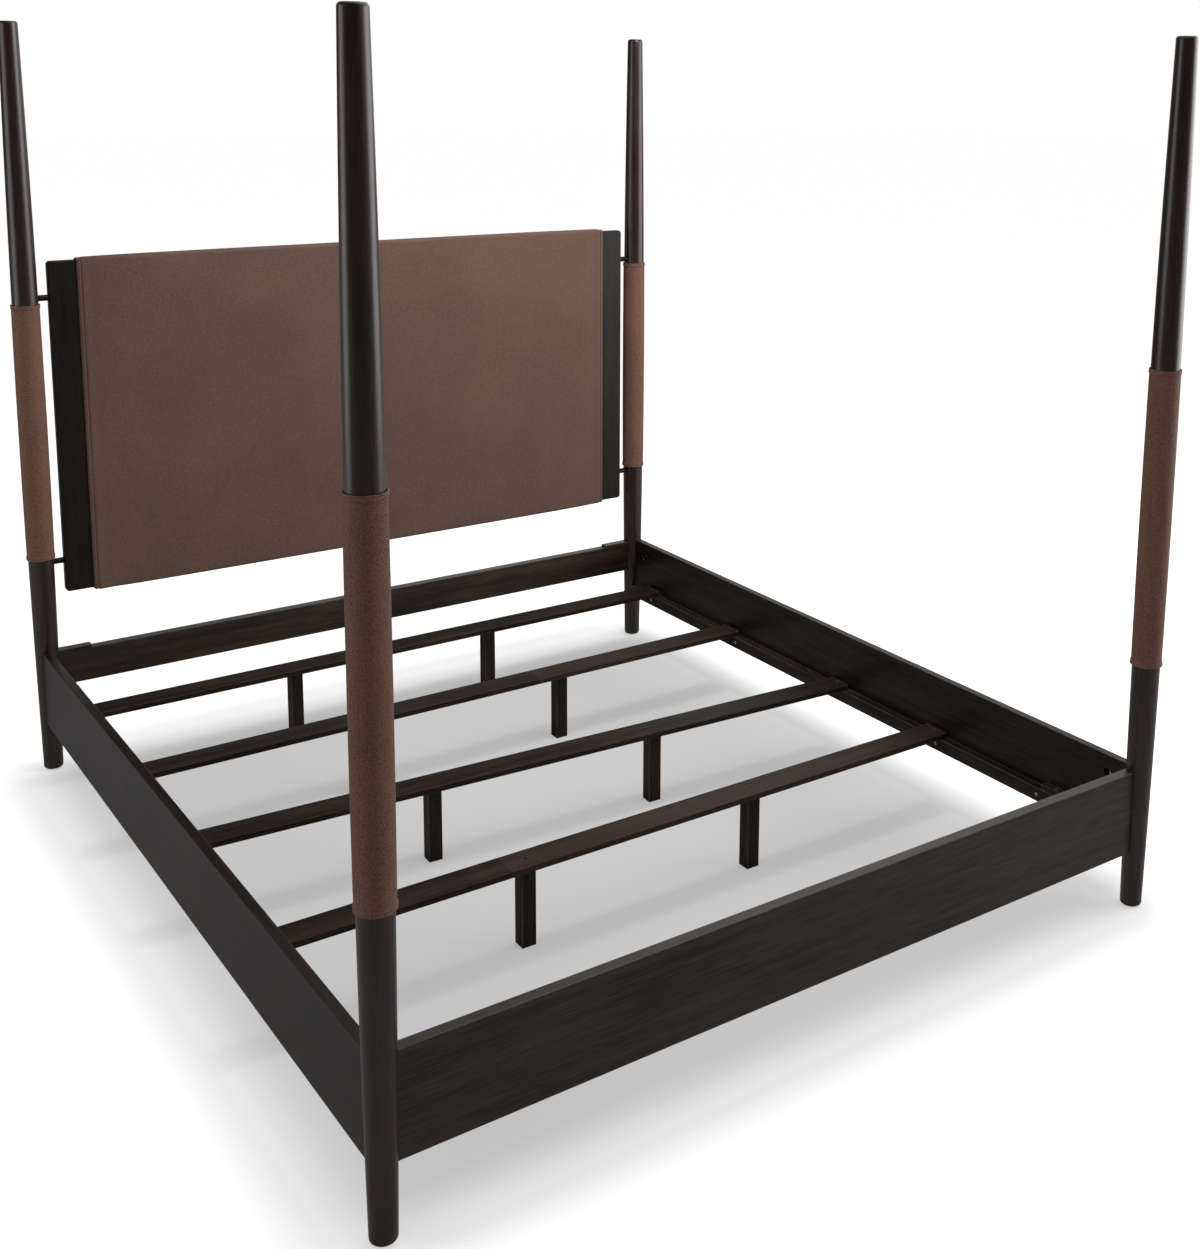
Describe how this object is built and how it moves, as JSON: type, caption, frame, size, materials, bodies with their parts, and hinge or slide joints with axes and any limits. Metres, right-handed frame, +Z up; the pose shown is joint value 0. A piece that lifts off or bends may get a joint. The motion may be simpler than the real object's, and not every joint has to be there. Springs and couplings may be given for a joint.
{
  "type": "upholstered four poster bed",
  "caption": "Open four poster bed frame: tapered round posts with leather sleeves, a leather-wrapped headboard panel, rails, and slats on support legs.",
  "frame": {"origin": "on the floor at the centre of the footprint", "axes": "+Z up, +X across the bed to the right seen from the foot, +Y from the foot to the headboard"},
  "size_m": [1.948, 2.2458, 2.006],
  "materials": {
    "espresso_wood": "dark espresso stain under satin lacquer",
    "slat_wood": "dark stained, thin matt lacquer",
    "brown_leather": "pebbled brown leather, semi-matt",
    "wadding": "polyester wadding, hidden",
    "dark_steel": "dark bronze plated",
    "screw_steel": "zinc plated",
    "dowel_wood": "plain beech, hidden",
    "glide_plastic": "grey nylon"
  },
  "bodies": {
    "root": {"foot_rail": "espresso_wood", "head_crossrail": "espresso_wood", "headboard_cover": "brown_leather", "headboard_panel": "espresso_wood", "headboard_standoffs": "dark_steel", "headboard_wadding": "wadding", "ledger_left": "slat_wood", "ledger_packer_left": "slat_wood", "ledger_packer_right": "slat_wood", "ledger_right": "slat_wood", "ledger_screws": "screw_steel", "leg_screws": "screw_steel", "post_front_left": "espresso_wood", "post_front_right": "espresso_wood", "post_glides": "glide_plastic", "post_head_left": "espresso_wood", "post_head_right": "espresso_wood", "post_sleeve_front_left": "brown_leather", "post_sleeve_front_right": "brown_leather", "post_sleeve_head_left": "brown_leather", "post_sleeve_head_right": "brown_leather", "rail_dowels": "dowel_wood", "rail_nuts": "dark_steel", "rail_studs": "dark_steel", "rail_washers": "dark_steel", "side_rail_left": "espresso_wood", "side_rail_right": "espresso_wood", "slat_1": "slat_wood", "slat_2": "slat_wood", "slat_3": "slat_wood", "slat_4": "slat_wood", "slat_screws": "screw_steel", "standoff_studs": "dark_steel", "support_leg_1_left": "slat_wood", "support_leg_1_right": "slat_wood", "support_leg_2_left": "slat_wood", "support_leg_2_right": "slat_wood", "support_leg_3_left": "slat_wood", "support_leg_3_right": "slat_wood", "support_leg_4_left": "slat_wood", "support_leg_4_right": "slat_wood"}
  },
  "joints": []
}
